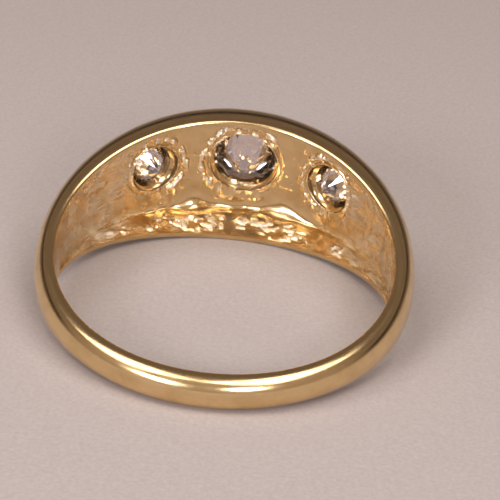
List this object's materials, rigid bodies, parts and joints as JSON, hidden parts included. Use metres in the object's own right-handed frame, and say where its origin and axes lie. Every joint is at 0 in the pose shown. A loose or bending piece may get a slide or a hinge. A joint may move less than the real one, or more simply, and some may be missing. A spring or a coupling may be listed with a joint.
{
  "type": "engagement ring",
  "caption": "Domed yellow gold ring with flush-set round brilliants in a row, a scooped-out back behind the head and a slim tapering shank.",
  "frame": {"origin": "centre of the finger hole, midway between the rims", "axes": "+Z along the finger, +Y towards the head and its centre stone, +X to the right of the head seen from the back of the shank"},
  "size_m": [0.0196, 0.0221, 0.0078],
  "materials": {
    "gold": "polished",
    "diamond": "polished"
  },
  "bodies": {
    "root": {"band": "gold", "centre_stone": "diamond", "left_stone": "diamond", "right_stone": "diamond"}
  },
  "joints": []
}
